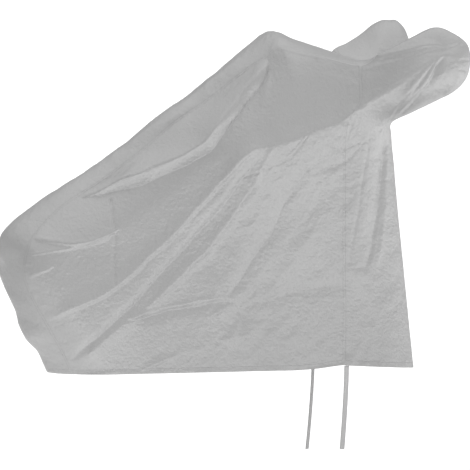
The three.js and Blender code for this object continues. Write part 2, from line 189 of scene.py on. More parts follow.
# %% Large folds of the side and front panels
RIGHT_FOLDS = (
    ("knee bulge", 95, 95, 22, ((-110, -300), (23, -275), (140, -232), (215, -190))),
    ("low pull", 60, 60, 5, ((-633, -855), (-477, -738), (-379, -653), (-256, -530),
                              (-147, -407))),
    ("high pull", 105, 60, 8, ((-640, -727), (-559, -692), (-477, -652), (-379, -560),
                                (-272, -462), (-174, -376))),
    ("broad pull", 60, 45, 6, ((-190, -690), (-54, -479), (17, -366))),
    ("slope band", 65, 36, 6, ((-546, -404), (-443, -366), (-331, -322), (-252, -276),
                               (-165, -200), (-93, -113), (-63, -50))),
    ("rear curve", 40, 20, 3, ((-680, -520), (-652, -529), (-584, -530), (-477, -511))),
    ("front crease", 28, 28, 4, ((160, -610), (203, -392), (212, -310))),
    ("front trough", 28, 28, -4, ((239, -596), (250, -471), (268, -335))),
    ("sleeve fold", 30, 30, 4, ((285, -190), (330, -140), (390, -85))),
    ("sleeve top crest", 27, 27, 3, ((200, -100), (265, -70), (345, -45))),
)
LEFT_FOLDS = (
    ("knee bulge", 95, 95, 20, ((-90, -315), (30, -285), (140, -240), (215, -190))),
    ("low pull", 60, 50, 12, ((-600, -820), (-430, -690), (-290, -560), (-180, -430))),
    ("high pull", 90, 45, 14, ((-620, -690), (-500, -640), (-360, -530), (-220, -390))),
    ("broad pull", 60, 45, 13, ((-230, -760), (-110, -560), (-10, -390))),
    ("front pull", 36, 36, -8, ((20, -640), (70, -480), (110, -330))),
    ("slope band", 60, 36, 10, ((-540, -450), (-380, -400), (-250, -300), (-110, -150))),
    ("front crease", 27, 27, 6, ((180, -640), (210, -420), (220, -290))),
    ("sleeve fold", 30, 30, 6, ((285, -185), (335, -150), (395, -110))),
    ("sleeve top crest", 27, 27, 5, ((205, -105), (275, -75), (350, -50))),
)

# %% [markdown]
# The nearest place of a line tells how far a point of the cloth is from a fold or a seam, how far
# along it, and how much above it: 1 straight above, 0 straight below, between them past its ends.

# %% Measure from a broken line
def nearest(line, x, z):
    """Distance, place as a segment number with a fraction, and how much above the line."""
    best = np.full(x.shape, np.inf)
    place, above = np.zeros(x.shape), np.zeros(x.shape)
    for i, ((ax, az), (bx, bz)) in enumerate(zip(line[:-1], line[1:])):
        length2 = (bx - ax) ** 2 + (bz - az) ** 2
        share = np.clip(((x - ax) * (bx - ax) + (z - az) * (bz - az)) / length2, 0, 1)
        distance = np.hypot(mix(ax, bx, share) - x, mix(az, bz, share) - z)
        off = ((bx - ax) * (z - az) - (bz - az) * (x - ax)) / math.sqrt(length2)
        closer = distance < best
        best = np.where(closer, distance, best)
        place = np.where(closer, i + share, place)
        above = np.where(closer, 0.5 + 0.5 * off / np.maximum(distance, 1e-6), above)
    return best, place, above


# %% [markdown]
# ## Creases and wrinkles
# Thin coated cloth holds sharper lines than the model shows: pulls that run to the knee, the fold
# lines of the parcel it came in, and crumples. They are listed one by one, because a simulated drape
# would put its folds somewhere else. A row has a crease's name, its widths above and below its
# line and its height in millimetres, its crest and foot, and places along it. A crest of 1 is
# sharp and 2 is round, and a foot of 1 ends in a sharp line and 2 ends softly. A place has the
# columns of IN_PICTURE: pixels across from the photograph's left edge, pixels down from its top,
# and the share of its widths and height that the crease has there.

# %% Creases of the right side, read from the photograph
IN_PICTURE = ("across", "down", "size")
RIGHT_READINGS = (
    ("high pull", 40, 11, 4, 1.1, 1.3, ((30, 320, 0.5), (42, 319, 0.8), (57, 315, 0.9), (70, 309, 1),
        (90, 301, 1), (105, 293, 1), (117, 286, 1), (128, 277, 1), (140, 266, 1), (150, 257, 1),
        (165, 242, 1), (180, 227, 1), (195, 210, 1), (207, 198, 1), (217, 187, 1), (230, 172, 0.9),
        (243, 160, 0.8), (256, 150, 0.4))),
    ("low pull", 22, 34, -5, 1, 1.3, ((58, 371, 0.3), (71, 361, 0.7), (86, 348, 0.9), (101, 335, 1),
        (113, 324, 1), (126, 312, 1), (139, 300, 1), (151, 286, 1), (161, 275, 1), (173, 261, 1),
        (186, 248, 1), (198, 235, 1), (211, 220, 1), (223, 205, 1), (234, 192, 1), (241, 182, 0.8),
        (250, 170, 0.5), (258, 160, 0.3))),
    ("foot pull", 30, 30, 3.5, 1.1, 1.6, ((62, 368, 0.3), (80, 358, 0.6), (98, 345, 0.9), (112, 334, 1),
        (125, 324, 1), (136, 316, 1), (148, 312, 0.5))),
    ("third pull", 30, 20, 4.5, 1.05, 1.6, ((150, 306, 0.3), (158, 298, 0.8), (170, 287, 1), (182, 275, 1),
        (195, 262, 1), (207, 249, 1), (217, 236, 1), (226, 224, 1), (235, 212, 1), (245, 198, 1),
        (252, 187, 1), (259, 175, 0.9), (264, 163, 0.7), (270, 152, 0.4))),
    ("broad pull", 60, 42, -7, 1, 1.5, ((232, 291, 0.4), (240, 279, 0.8), (250, 264, 1), (262, 247, 1),
        (272, 231, 1), (279, 217, 1), (285, 205, 1), (293, 192, 0.9), (300, 180, 0.7), (306, 170, 0.3))),
    ("crumpled pull", 48, 60, 3, 1.2, 2, ((270, 292, 0.4), (280, 279, 0.8), (291, 263, 1), (300, 250, 1),
        (308, 236, 1), (316, 220, 0.8), (322, 205, 0.4))),
    ("knee edge", 45, 70, 6, 1.15, 2, ((222, 180, 0.2), (232, 167, 0.5), (243, 158, 0.8), (256, 150, 1),
        (272, 147, 1), (285, 144, 1), (303, 138, 1), (320, 130, 1), (340, 124, 1), (350, 113, 1),
        (364, 107, 1), (378, 98, 1), (395, 88, 0.9), (412, 76, 0.9), (425, 66, 0.7), (437, 57, 0.4))),
    ("slope roll", 65, 52, 48, 1.03, 1, ((264, 50, 0.25), (257, 64, 0.46), (250, 76, 0.54),
        (242, 86, 0.58), (234, 95, 0.6), (226, 106, 0.62), (217, 118, 0.64), (208, 131, 0.65),
        (200, 141, 0.65), (190, 149, 0.6), (180, 155, 0.6), (165, 161, 0.6), (150, 167, 0.65),
        (135, 173, 0.68), (122, 177, 0.64), (110, 181, 0.58), (98, 186, 0.48), (86, 192, 0.3))),
    ("slope streak", 20, 12, 1.8, 1.1, 1.5, ((271, 78, 0.4), (268, 88, 1), (265, 97, 1), (262, 106, 0.4))),
    ("knee crease", 7, 7, -1.2, 1, 1.5, ((309, 134, 0.4), (303, 142, 1), (296, 151, 1), (288, 159, 1),
        (278, 165, 0.9), (268, 169, 0.8), (258, 173, 0.8), (248, 176, 0.8), (238, 179, 0.4))),
    ("knee crease left", 7, 6, -1, 1, 1.5, ((305, 134, 0.4), (297, 144, 1), (288, 153, 1),
        (281, 160, 0.5))),
    ("seam wrinkle high", 10, 8, -2.24, 1, 1.6, ((296, 177, 0.3), (310, 175, 0.6), (320, 173, 1),
        (328, 170, 1), (338, 165, 1), (345, 161, 1), (355, 152, 0.8), (367, 140, 0.4))),
    ("seam wrinkle low", 10, 6, 2, 1, 1.4, ((314, 187, 0.3), (320, 185, 1), (330, 177, 1), (338, 171, 1),
        (345, 165, 0.5))),
    ("seam wrinkle top", 6, 6, -1.68, 1, 1.6, ((322, 142, 0.3), (329, 146, 1), (336, 149, 1),
        (344, 150, 0.8), (352, 146, 0.8), (362, 141, 0.4))),
    ("rear curve", 34, 8, 4.5, 1, 1.2, ((12, 224, 0.4), (22, 231, 0.9), (32, 236, 1), (45, 241, 1),
        (60, 243, 1), (75, 243, 1), (90, 241, 1), (102, 238, 1), (112, 234, 0.8), (119, 230, 0.4))),
    ("rear curve low", 18, 6, 2.2, 1, 1.2, ((28, 256, 0.4), (38, 254, 1), (50, 252, 1), (62, 250, 1),
        (75, 248, 1), (90, 244, 1), (102, 241, 0.9), (112, 237, 0.4))),
    ("rear line", 9, 7, -3.2, 1, 1.4, ((40, 224, 0.3), (45, 219, 0.8), (51, 210, 1), (57, 200, 1),
        (64, 190, 1), (69, 184, 0.4))),
    ("rear streak", 22, 7, 2.4, 1, 1.2, ((30, 278, 0.3), (36, 275, 1), (43, 272, 1), (50, 269, 1),
        (56, 265, 0.4))),
    ("rear streak small", 14, 5, 1.2, 1, 1.4, ((62, 222, 0.3), (70, 219, 1), (80, 216, 0.4))),
    ("rear band", 24, 14, 3, 1, 1.2, ((18, 302, 0.4), (30, 303, 1), (42, 304, 0.9), (54, 305, 0.3))),
    ("packing line up", 5, 5, -4, 1, 1.5, ((111, 200, 1), (113, 210, 1), (115, 222, 1), (117, 232, 0.8),
        (116, 250, 0.8), (116, 270, 1), (117, 287, 0.4))),
    ("packing line rear", 11, 30, -3.6, 1, 1.5, ((126, 321, 0.3), (140, 318, 0.8), (157, 313, 1),
        (170, 310, 1), (185, 307, 1), (200, 305, 1), (215, 302, 0.9), (232, 300, 0.4))),
    ("packing line rear top", 9, 6, 1.6, 1, 1.5, ((156, 310, 0.4), (171, 306, 1), (185, 303, 1),
        (200, 300, 1), (215, 299, 1), (228, 298, 0.4))),
    ("packing line front", 9, 40, -2.8, 1, 1.2, ((254, 303, 0.3), (262, 300, 0.8), (275, 296, 1),
        (290, 291, 1), (310, 286, 1), (325, 283, 1), (338, 281, 0.8), (347, 279, 0.4))),
    ("light patch", 90, 30, 5, 1, 1.3, ((226, 340, 0.4), (235, 338, 1), (247, 335, 1), (260, 326, 0.4))),
    ("hem curl", 30, 10, -4, 1, 1.5, ((280, 371, 0.3), (292, 370, 0.8), (305, 369, 1), (320, 367, 1),
        (335, 365, 1), (344, 363, 0.4))),
    ("low line", 26, 7, 3, 1, 1.3, ((142, 370, 0.3), (152, 365, 1), (163, 360, 1), (175, 356, 0.4))),
    ("crumple wrinkle", 14, 6, 2.2, 1, 1.3, ((205, 320, 0.3), (213, 314, 1), (220, 310, 1),
        (230, 304, 0.4))),
    ("crumple wrinkle low", 10, 6, 1.6, 1, 1.3, ((196, 329, 0.3), (203, 326, 1), (211, 322, 0.4))),
    ("front line", 9, 7, -2.6, 1, 1.3, ((348, 270, 0.3), (351, 250, 0.9), (355, 228, 1), (359, 205, 1),
        (362, 185, 1), (365, 163, 1), (367, 146, 0.7), (368, 138, 0.3))),
    ("front hollow", 42, 14, -6, 1, 1.3, ((365, 272, 0.3), (370, 252, 0.8), (374, 232, 1), (377, 212, 1),
        (379, 195, 1), (381, 178, 1), (383, 158, 0.9), (385, 140, 0.5))),
    ("front ridge", 14, 34, 3.5, 1, 1.6, ((374, 272, 0.3), (379, 252, 0.8), (382, 232, 1), (384, 212, 1),
        (385, 195, 1), (386, 178, 1), (387, 158, 0.9), (387, 142, 0.5))),
    ("front packing", 16, 6, 3.2, 1, 1.4, ((343, 271, 0.4), (352, 274, 1), (362, 277, 1), (372, 280, 0.8),
        (384, 283, 0.3))),
    ("front packing low", 12, 5, 1.6, 1, 1.4, ((343, 277, 0.4), (352, 278, 1), (364, 280, 0.5))),
    ("front packing top", 8, 5, 1.4, 1, 1.4, ((350, 265, 0.4), (358, 268, 1), (367, 270, 0.5))),
    ("front scratch", 5, 5, 1.2, 1, 1.4, ((371, 336, 0.4), (374, 331, 1), (377, 327, 0.4))),
    ("tie foot high", 12, 5, 1.8, 1, 1.4, ((344, 348, 0.4), (350, 344, 1), (358, 339, 0.4))),
    ("tie foot low", 6, 10, -2.4, 1, 1.4, ((340, 352, 0.4), (346, 351, 1), (356, 353, 0.6))),
    ("sleeve crest", 24, 10, 5, 1.05, 1.2, ((362, 63, 0.4), (376, 58, 1), (392, 53, 1), (408, 49, 1),
        (423, 46, 0.9), (438, 45, 0.4))),
    ("sleeve line", 16, 9, 3.2, 1, 1.3, ((364, 70, 0.4), (378, 67, 1), (392, 63, 1), (408, 57, 1),
        (425, 52, 0.4))),
    ("sleeve valley", 9, 20, -2.4, 1, 1.4, ((366, 63, 0.3), (385, 62, 1), (405, 57, 1), (422, 53, 1),
        (440, 49, 0.9), (452, 46, 0.3))),
    ("sleeve belly", 22, 26, 4, 1.05, 1.4, ((346, 119, 0.4), (358, 107, 0.9), (372, 98, 1), (386, 89, 1),
        (400, 79, 1), (414, 69, 0.9), (428, 61, 0.4))),
    ("sleeve fan low", 18, 9, 4.5, 1.05, 1.3, ((388, 117, 0.5), (396, 106, 1), (406, 94, 1), (416, 82, 1),
        (425, 72, 0.9), (434, 62, 0.4))),
    ("sleeve fan high", 14, 10, 5, 1.05, 1.3, ((392, 119, 0.5), (404, 106, 1), (414, 94, 1), (424, 82, 1),
        (432, 70, 0.9), (438, 60, 0.4))),
    ("sleeve hollow", 10, 20, -5, 1.1, 1.6, ((399, 117, 0.4), (412, 104, 1), (422, 92, 1), (431, 79, 1),
        (438, 66, 0.9), (442, 58, 0.4))),
    ("tip hollow", 10, 16, -4, 1.1, 1.6, ((440, 54, 0.4), (449, 50, 1), (457, 46, 1), (464, 41, 0.4))),
    ("tip light", 26, 24, 3.5, 1.05, 1.5, ((440, 58, 0.4), (448, 55, 1), (455, 60, 1), (458, 72, 0.8),
        (456, 84, 0.4))),
    ("tip pucker one", 5, 5, -2, 1, 1.5, ((455, 52, 0.4), (461, 50, 1), (467, 49, 0.6))),
    ("tip pucker two", 5, 5, -2, 1, 1.5, ((457, 61, 0.4), (463, 60, 1), (469, 60, 0.6))),
    ("tip pucker three", 5, 5, -2, 1, 1.5, ((456, 70, 0.4), (462, 71, 1), (467, 74, 0.6))),
    ("neck gather", 5, 5, 2, 1, 1.4, ((382, 136, 0.4), (385, 127, 1), (389, 119, 0.6))),
    ("neck gather left", 5, 5, 1.6, 1, 1.4, ((377, 142, 0.4), (380, 133, 1), (385, 122, 0.6))),
    ("neck gather low", 5, 5, 1.4, 1, 1.4, ((386, 150, 0.4), (387, 138, 1), (388, 124, 0.6))),
    ("hip crease", 8, 7, -1.8, 1, 1.4, ((353, 138, 0.4), (356, 126, 1), (359, 113, 0.5))),
    ("hip crease left", 7, 7, -1.6, 1, 1.4, ((344, 150, 0.4), (346, 138, 1), (350, 124, 1),
        (353, 114, 0.4))),
    ("ridge welt", 14, 8, 10.8, 1, 1.2, ((262, 43, 0.3), (272, 46, 0.9), (285, 50, 1), (300, 53, 1),
        (320, 58, 1), (340, 62, 1), (357, 66, 0.5))),
)
TOP_READINGS = (
    ("slope lip", 30, 22, 4, 1.03, 1, ((116, 155, 0.3), (135, 141, 0.9), (150, 133, 1), (172, 121, 1),
        (190, 104, 1), (205, 90, 0.9), (222, 76, 0.8), (240, 61, 0.4))),
)

# %% [markdown]
# The photograph hides the left side, so its creases are this script's own: the same kind of pulls
# from the knee and the sleeve, in other places. They are given as x and z in millimetres, and size.

# %% Creases of the left side
LEFT_CREASES = (
    ("high pull", 45, 12, 4, 1.1, 1.3, ((-690, -700, 0.4), (-600, -680, 0.9), (-500, -635, 1),
        (-420, -580, 1), (-340, -520, 1), (-270, -445, 1), (-210, -380, 0.8), (-150, -330, 0.4))),
    ("low pull", 24, 34, -4.5, 1, 1.3, ((-610, -850, 0.3), (-520, -790, 0.9), (-430, -715, 1),
        (-350, -625, 1), (-285, -545, 1), (-225, -470, 1), (-175, -400, 0.8), (-130, -340, 0.4))),
    ("third pull", 35, 22, 4, 1.05, 1.6, ((-340, -740, 0.3), (-280, -670, 0.9), (-215, -580, 1),
        (-155, -490, 1), (-105, -405, 1), (-70, -330, 0.5))),
    ("broad pull", 50, 28, -7, 1, 1.2, ((-160, -700, 0.4), (-95, -605, 1), (-35, -505, 1),
        (10, -410, 1), (45, -330, 0.5))),
    ("front pull", 30, 50, 3.5, 1.2, 2, ((0, -700, 0.4), (45, -600, 1), (90, -480, 1),
        (120, -370, 0.5))),
    ("knee edge", 45, 70, 6, 1.15, 2, ((-170, -370, 0.3), (-110, -320, 0.9), (-50, -295, 1),
        (30, -275, 1), (120, -245, 1), (190, -200, 1), (260, -150, 0.9), (320, -105, 0.8),
        (370, -75, 0.4))),
    ("slope roll", 65, 50, 14, 1.03, 1, ((-70, -90, 0.3), (-130, -165, 0.6), (-200, -235, 0.7),
        (-280, -300, 0.8), (-370, -345, 0.8), (-460, -385, 0.6), (-530, -410, 0.3))),
    ("rear curve", 34, 9, 3, 1, 1.2, ((-730, -520, 0.4), (-670, -545, 1), (-600, -552, 1),
        (-530, -535, 1), (-470, -510, 0.4))),
    ("packing line", 12, 28, -3.2, 1, 1.5, ((-430, -735, 0.3), (-330, -715, 1), (-210, -700, 1),
        (-80, -690, 1), (60, -665, 1), (150, -650, 0.4))),
    ("packing line up", 6, 6, -2, 1, 1.5, ((-460, -650, 0.4), (-465, -560, 1), (-462, -460, 1),
        (-470, -380, 0.4))),
    ("front line", 9, 7, -2.4, 1, 1.3, ((160, -630, 0.3), (178, -520, 1), (192, -400, 1),
        (202, -300, 0.4))),
    ("front hollow", 40, 14, -5, 1, 1.3, ((225, -640, 0.3), (240, -520, 1), (255, -400, 1),
        (265, -290, 0.5))),
    ("sleeve crest", 24, 11, 4.5, 1.05, 1.2, ((195, -85, 0.4), (250, -60, 1), (310, -40, 1),
        (370, -30, 0.4))),
    ("sleeve fan", 18, 10, 4.5, 1.05, 1.3, ((265, -215, 0.4), (290, -160, 1), (325, -115, 1),
        (360, -75, 0.4))),
    ("sleeve hollow", 10, 20, -4.5, 1.1, 1.6, ((300, -215, 0.4), (330, -155, 1), (360, -105, 1),
        (380, -65, 0.4))),
    ("tip streak", 8, 8, -2.5, 1, 1.5, ((360, -60, 0.4), (380, -20, 1), (395, 20, 0.6))),
    ("tip streak small", 6, 6, -2, 1, 1.5, ((375, -55, 0.4), (395, -20, 1), (405, 10, 0.6))),
)

# %% [markdown]
# The height of a crease at a place comes from its distance from the crease's line. How much of the
# way lies above the line decides between the two widths, and the upper slope always ends softly.
# In two places the cloth hangs over more than its rows say, beside the peak and at the rear end of
# the slope: there the creases stand higher. RAISED holds both, as ranges of z and of -x.

# %% Height of a crease
ON_CLOTH = ("x", "z", "size")
RAISED = (((-290, -220), (20, 60)), ((-460, -420), (360, 430)))
RAISE = 0.45
LEAST_SIZE = 0.05


def crease_height(crease, x, z):
    _, above, below, height, crest, foot, line = crease
    table = named(ON_CLOTH, line)
    steps = np.linspace(0, len(line) - 1, (len(line) - 1) * 3 + 1)
    xs, zs, sizes = (read(table, column, steps) for column in ON_CLOTH)
    reach = max(above, below) * 1.15
    near = ((x > xs.min() - reach) & (x < xs.max() + reach)
            & (z > zs.min() - reach) & (z < zs.max() + reach))
    result = np.zeros(x.shape)
    if not near.any():
        return result
    distance, place, on_top = nearest(np.stack((xs, zs), axis=-1), x[near], z[near])
    if xs[-1] < xs[0]:
        on_top = 1 - on_top
    size = np.maximum(np.interp(place, np.arange(len(sizes)), sizes), 0)
    share = np.minimum(distance / (mix(below, above, on_top) * np.maximum(size, LEAST_SIZE)), 1)
    raised = np.maximum(*(smooth(z[near], *heights) * smooth(-x[near], *behind)
                          for heights, behind in RAISED))
    result[near] = (height * size * (1 + RAISE * raised)
                    * (1 - share ** crest) ** mix(foot, 2, on_top))
    return result


# %% [markdown]
# The outline is the ring of seams round a side, seen from the side. The walls start there at the
# seam's own half width, and swell to their full width over the reach of the nearest seam. The
# full half width grows towards the hem at the rear, towards the top in front, and out along the
# sleeve.

# %% The outline and the walls behind it
OUTLINE = np.array(
    [[read(STRIP, column, i / 6) for column in ("ex", "ez", "y", "reach", "full")]
     for i in range(STRIP_END * 6 + 1)]
    + [[read(FRONT, column, i / 6) for column in ("ex", "ez", "y", "reach", "full")]
       for i in range(FRONT_END * 6 - 1, -1, -1)])


REAR_HALF, REAR_GROWTH = 138, 13
FRONT_HALF, FRONT_GROWTH = 142, 20
SLEEVE_HALF, SLEEVE_GROWTH = 200, 46


def full_width(x, z):
    rear = REAR_HALF + REAR_GROWTH * smooth(-z, 500, 820)
    front = FRONT_HALF + FRONT_GROWTH * smooth(z, -760, -330)
    body = mix(rear, front, smooth(x, -420, -20))
    sleeve = SLEEVE_HALF + SLEEVE_GROWTH * smooth(x, 180, 340)
    up_in_sleeve = (x - 290) * 0.5 + (z + 250) * 0.87
    return mix(body, sleeve, smooth(x, 120, 300) * smooth(up_in_sleeve, -60, 110))


def fill_near(x, z, distance):
    reach, full, total = np.zeros(x.shape), np.zeros(x.shape), np.zeros(x.shape)
    for place in OUTLINE:
        weight = np.exp((distance - np.hypot(place[0] - x, place[1] - z)) / FILL_BLEND)
        reach += weight * place[3]
        full += weight * place[4]
        total += weight
    return reach / total, full / total


def wall_y(x, z, folds):
    distance, place, _ = nearest(OUTLINE[:, :2], x, z)
    edge = np.interp(place, np.arange(len(OUTLINE)), OUTLINE[:, 2])
    reach, full = fill_near(x, z, distance)
    rise = (1 - (1 - np.minimum(distance / reach, 1)) ** 2) ** full
    height = 0
    for _, above, below, high, line in folds:
        away, _, on_top = nearest(line, x, z)
        height = height + high * np.exp(-(away / mix(below, above, on_top)) ** 2)
    height = height * np.minimum(distance / FOLD_FADE, 1)
    return mix(edge, full_width(x, z), rise) + height, distance


def hem_z(x):
    return HEM + HEM_PULL["height"] * np.exp(-((x - HEM_PULL["x"]) / HEM_PULL["width"]) ** 2)


# %% [markdown]
# A place in the photograph is a line of sight, and the crease lies where that line meets the cloth.
# The depth of the cloth is first guessed, then taken from the wall at the place found, and so on
# until both agree. The crease beside the top strip lies at one known depth. The places are rounded
# to 5 mm, which is about as well as they can be read.

# %% From the photograph to the cloth
FIRST_DEPTH = -140
TOP_DEPTH = -52
ROUNDS = 14
READ_TO = 5


def on_cloth(readings, depth):
    """Rows with x, z and size, at the depth given or, without one, on the right wall."""
    picture = named(IN_PICTURE, [place for *_, places in readings for place in places])
    right = (picture["across"] - PEAK_ACROSS) * PIXEL
    up = (PEAK_DOWN - picture["down"]) * PIXEL
    y = np.full(right.shape, float(depth or FIRST_DEPTH))
    for _ in range(ROUNDS):
        x = (right - math.sin(AZIMUTH) * y) / math.cos(AZIMUTH)
        rise = (math.cos(AZIMUTH) * y - math.sin(AZIMUTH) * x) * math.sin(ELEVATION)
        z = (up - rise) / math.cos(ELEVATION)
        if depth is None:
            y = -(wall_y(x, z, RIGHT_FOLDS)[0] + CLOTH)
    found = zip(*(np.round(values / READ_TO) * READ_TO for values in (x, z)), picture["size"])
    return tuple((*crease, tuple(next(found) for _ in places)) for *crease, places in readings)


RIGHT_CREASES = on_cloth(RIGHT_READINGS, None)
TOP_CREASES = on_cloth(TOP_READINGS, TOP_DEPTH)
print("creases:", len(RIGHT_CREASES + TOP_CREASES), "right,", len(LEFT_CREASES), "left")

# %% [markdown]
# A panel is cut flat, and u and v run across its cut: u from rear to front, v from the hem up.

# %% Places of the side and front panels
def side_place(u, v):
    left = [read(STRIP, column, v * REAR_ROWS) for column in ("ex", "ez")]
    top = [read(STRIP, column, mix(REAR_ROWS, V_ROW, u)) for column in ("ex", "ez")]
    right = [read(FRONT, column, v * FRONT_END) for column in ("sx", "sz")]
    hem_x = mix(STRIP["ex"][0], FRONT["sx"][0], u)
    hem = [hem_x, hem_z(hem_x)]
    rear_corners = [(STRIP[c][0], STRIP[c][REAR_ROWS]) for c in ("ex", "ez")]
    front_corners = [(FRONT["s" + c[1]][0], STRIP[c][V_ROW]) for c in ("ex", "ez")]
    place = []
    for k in (0, 1):
        left_bend = left[k] - mix(*rear_corners[k], v)
        right_bend = right[k] - mix(*front_corners[k], v)
        place.append(mix(hem[k], top[k], v) + left_bend * (1 - u) ** 2 + right_bend * u ** 4)
    return place


def front_place(u, v):
    row = v * FRONT_END
    top_row = mix(V_ROW, STRIP_END, u)
    place = []
    for seam, edge in (("sx", "ex"), ("sz", "ez")):
        line = mix(read(FRONT, seam, row), read(FRONT, edge, row), u)
        straight = mix(FRONT[seam][-1], FRONT[edge][-1], u)
        place.append(line + (read(STRIP, edge, top_row) - straight) * v ** 24)
    return place


# %% [markdown]
# The strip and the middle panel are drawn by cross lines, from their right seam at t = -1 to their
# left one at t = 1. A few crumpled tucks lie across the strip, each with its row of STRIP, its
# width in rows, its height in millimetres and its slant.

# %% Places of the strip and the middle panel
TUCKS = ((0.7, 0.3, -4, 0.2), (1.5, 0.3, 5, -0.3), (2.3, 0.3, -5, 0.25), (3.1, 0.3, 4, 0.3),
         (4.4, 0.35, -4, -0.4), (8.6, 0.4, 2, 0.3), (10.6, 0.4, -2, -0.2))


def cross_line(centre, edge, y1, k, y2, y, t):
    a = np.abs(t)
    w = ((1 - a) ** 3, 3 * a * (1 - a) ** 2, 3 * a * a * (1 - a), a ** 3)
    out = y1 * w[1] + y2 * w[2] + y * w[3]
    x, z = (centre[i] * (w[0] + w[1]) + mix(centre[i], edge[i], k) * w[2] + edge[i] * w[3]
            for i in (0, 1))
    return np.stack((x, np.sign(t) * out, z), axis=-1)


def strip_point(s, t):
    row = s * STRIP_END
    x, z, ex, ez, y = (read(STRIP, column, row) for column in ("x", "z", "ex", "ez", "y"))
    point = cross_line((x, z), (ex, ez), y / 3, 1 / 3, 2 * y / 3, y, t)
    ahead_x = read(STRIP, "x", row + 0.01) - x
    ahead_z = read(STRIP, "z", row + 0.01) - z
    length = np.hypot(ahead_x, ahead_z)
    lift = sum(height * np.exp(-((row - place - slant * t) / width) ** 2)
               for place, width, height, slant in TUCKS) * (1 - t * t)
    return point + np.stack((-ahead_z / length * lift, 0 * lift, ahead_x / length * lift), axis=-1)


TIP_START = 395
TIP_SHARE = 0.68
TIP_RISE = 12
SLEEVE_RISE = 8
ROOT_DROP = 5


def left_sleeve(points):
    """The left sleeve drops at its root, and is higher and shorter at its tip."""
    x, y, z = (points[..., k] for k in range(3))
    root = smooth(x, 240, 275) * (1 - smooth(x, 320, 390)) * smooth(z, -140, -60)
    rise = SLEEVE_RISE * smooth(x, 300, 350) + TIP_RISE * smooth(x, 388, 425)
    left = y >= 0
    new_z = np.where(left, z + rise * smooth(z, -80, 0) - ROOT_DROP * root, z)
    new_x = np.where(left & (x > TIP_START), mix(TIP_START, x, TIP_SHARE), x)
    return np.stack((new_x, y, new_z), axis=-1)


def middle_point(t, v):
    row = v * FRONT_END
    x, z, ex, ez, y, y1, k, y2 = (read(FRONT, column, row)
                                  for column in ("x", "z", "ex", "ez", "y", "y1", "k", "y2"))
    return left_sleeve(cross_line((x, z), (ex, ez), y1, k, y2, y, t))


# %% [markdown]
# ## The ties
# Each tie is a flat tape 13 mm wide, sewn on at the foot of a front seam and cut straight at its
# free end. The photograph shows both from end to end, so how far they hang is read from it: 216
# and 236 mm. Each drifts a little sideways on its way down, and the left one is turned. A flat tape
# is a grid that follows the route: it is quicker and cleaner than a curve with a bevel, which would
# round its edges.

# %% Make a hanging tape
TIE_WIDTH = 13
TIE_THICKNESS = 1.2
TIE_ROWS = 59
TIE_COLUMNS = 8
TIE_TRIM = 0.98
TIE_START = 0.3


def new_object(name, mesh_bm):
    mesh = bpy.data.meshes.new(name)
    mesh_bm.to_mesh(mesh)
    mesh_bm.free()
    mesh.shade_smooth()
    made = bpy.data.objects.new(name, mesh)
    bpy.context.scene.collection.objects.link(made)
    return made


def tie_route(side, length, x, drift, share):
    folds = RIGHT_FOLDS if side < 0 else LEFT_FOLDS
    y, _ = wall_y(np.array([float(x)]), np.array([float(HEM)]), folds)
    across = (x + TIE_WIDTH / 2 - FRONT["sx"][0]) / (FRONT["ex"][0] - FRONT["sx"][0])
    top = mix(FRONT["sz"][0], FRONT["ez"][0], across) - TIE_START
    return np.stack((x + drift * share ** 1.5, np.full(share.shape, side * (y[0] + 1)),
                     top - length * share), axis=-1)


def make_tie(name, side, length, x, drift, turn):
    share = np.linspace(0, 1, TIE_ROWS + 1)
    route = tie_route(side, length, x, drift, share)
    bm = bmesh.new()
    bmesh.ops.create_grid(bm, x_segments=TIE_COLUMNS, y_segments=TIE_ROWS, size=0.5)
    uv = bm.loops.layers.uv.new("cloth")
    across = np.array((math.cos(turn), math.sin(turn)))
    for vert in bm.verts:
        step = round((vert.co.y + 0.5) * TIE_ROWS)
        off = vert.co.x * TIE_WIDTH * TIE_TRIM
        place = route[step]
        vert.co = ((place[0] + across[0] * off) / 1000, (place[1] + across[1] * off) / 1000,
                   place[2] / 1000)
    for face in bm.faces:
        for loop in face.loops:
            j, i = divmod(loop.vert.index, TIE_COLUMNS + 1)
            loop[uv].uv = (i / TIE_COLUMNS * TIE_WIDTH / 1000, j / TIE_ROWS * length / 1000)
    bmesh.ops.recalc_face_normals(bm, faces=bm.faces)
    tie = new_object(name, bm)
    wall = tie.modifiers.new("thickness", "SOLIDIFY")
    wall.thickness = TIE_THICKNESS / 1000
    wall.offset = 0
    return tie, route / 1000


ties = {}
for tie_name, node, side, length, x, drift, turn in (
        ("right_hanging_tie", "tie_right", -1, 216, 157, -12.5, 0),
        ("left_hanging_tie", "tie_left", 1, 236, 161, -17, 0.6)):
    tie, route = make_tie(tie_name, side, length, x, drift, turn)
    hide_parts(node)
    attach(tie, "root")
    ties[tie_name] = tie

# %% [markdown]
# ## Crumples
# Coated cloth that was packed small keeps a crumple all over: short ridges a few centimetres long
# and up to 2 mm high. They come from smooth random heights in several sizes, with
# the places where the height turns over made into ridges. The seeds are fixed, so the cloth comes
# out the same every time. The crumple is weak where the cloth is pulled smooth.

# %% Random heights with ridges
HEIGHTS = 128
BEND = 14
BEND_SIZE = 60


def waves(x, z, size, seed):
    """Smooth random heights between -1 and 1, about size millimetres apart."""
    heights = np.random.default_rng(seed).uniform(-1, 1, (HEIGHTS, HEIGHTS))
    i, j = x / size, z / size
    i0, j0 = np.floor(i).astype(int), np.floor(j).astype(int)
    s, t = i - i0, j - j0
    s, t = s * s * (3 - 2 * s), t * t * (3 - 2 * t)
    corner = [[heights[(i0 + a) % HEIGHTS, (j0 + b) % HEIGHTS] for b in (0, 1)] for a in (0, 1)]
    return mix(mix(corner[0][0], corner[1][0], s), mix(corner[0][1], corner[1][1], s), t)


